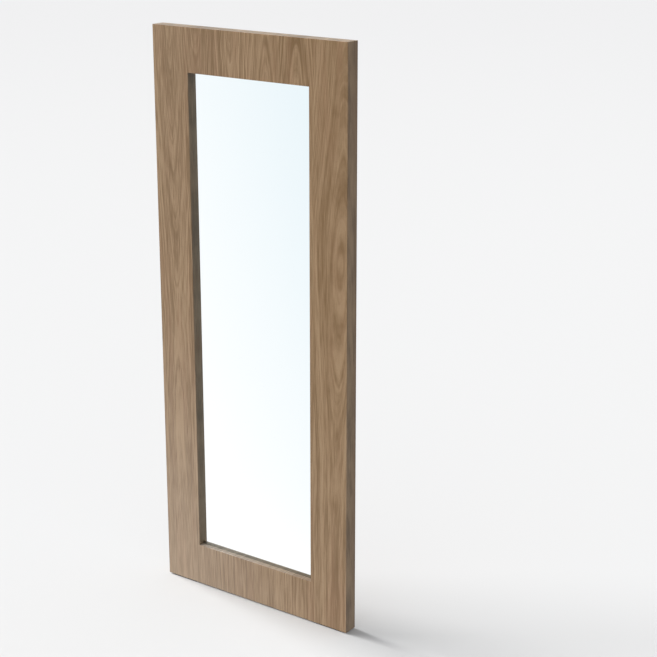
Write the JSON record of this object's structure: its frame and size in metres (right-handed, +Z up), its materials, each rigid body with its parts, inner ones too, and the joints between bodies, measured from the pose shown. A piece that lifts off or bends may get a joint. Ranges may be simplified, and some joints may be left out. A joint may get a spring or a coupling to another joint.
{
  "type": "full-length floor mirror",
  "caption": "Tall floor mirror with a wide flat walnut-veneered frame, a deep-set mirror and an easel leg that folds flush into the back.",
  "frame": {"origin": "on the floor, under the middle of the frame", "axes": "+X to the right seen from the front, +Y to the back, +Z up; the mirror faces -Y"},
  "size_m": [0.61, 0.04, 1.528],
  "materials": {
    "walnut_veneer": "satin lacquer over upright-grained walnut",
    "core_board": "sealed fibreboard",
    "steel": "zinc-plated",
    "solid_walnut": "oiled",
    "beech": "raw",
    "mirror": "polished silvered glass",
    "film": "self-adhesive film",
    "hardboard": "smooth hardboard",
    "nylon": "moulded",
    "rubber": "moulded"
  },
  "bodies": {
    "frame": {"face_veneer": "walnut_veneer", "edge_veneer_left": "walnut_veneer", "edge_veneer_right": "walnut_veneer", "edge_veneer_top": "walnut_veneer", "reveal_veneer_left": "walnut_veneer", "reveal_veneer_right": "walnut_veneer", "reveal_veneer_bottom": "walnut_veneer", "reveal_veneer_top": "walnut_veneer", "back_veneer_left": "walnut_veneer", "back_veneer_right": "walnut_veneer", "back_veneer_top": "walnut_veneer", "left_stile": "core_board", "right_stile": "core_board", "top_rail": "core_board", "bottom_rail": "core_board", "keyhole_plate_left": "steel", "keyhole_plate_right": "steel", "pivot_bracket_left": "steel", "pivot_bracket_right": "steel", "pivot_pin_left": "steel", "pivot_pin_right": "steel", "stop_peg_left": "steel", "stop_peg_right": "steel", "retaining_bead_left": "solid_walnut", "retaining_bead_right": "solid_walnut", "retaining_bead_top": "solid_walnut", "retaining_strip_bottom": "solid_walnut", "corner_tenons": "beech", "mirror_glass": "mirror", "safety_film": "film", "backing_panel": "hardboard", "setting_blocks": "rubber", "floor_pads": "rubber"},
    "easel_leg": {"leg_upright_left": "solid_walnut", "leg_upright_right": "solid_walnut", "leg_top_rung": "solid_walnut", "leg_middle_rung": "solid_walnut", "leg_foot_rung": "solid_walnut", "leg_foot_left": "rubber", "leg_foot_right": "rubber", "pivot_plate_left": "steel", "pivot_plate_right": "steel", "pivot_bush_left": "nylon", "pivot_bush_right": "nylon"}
  },
  "joints": [
    {"name": "leg_swing", "type": "hinge", "parent": "frame", "child": "easel_leg", "pos_m": [0, 0.0118, 1.1], "axis": [1, 0, 0], "range_deg": [0, 16]}
  ]
}
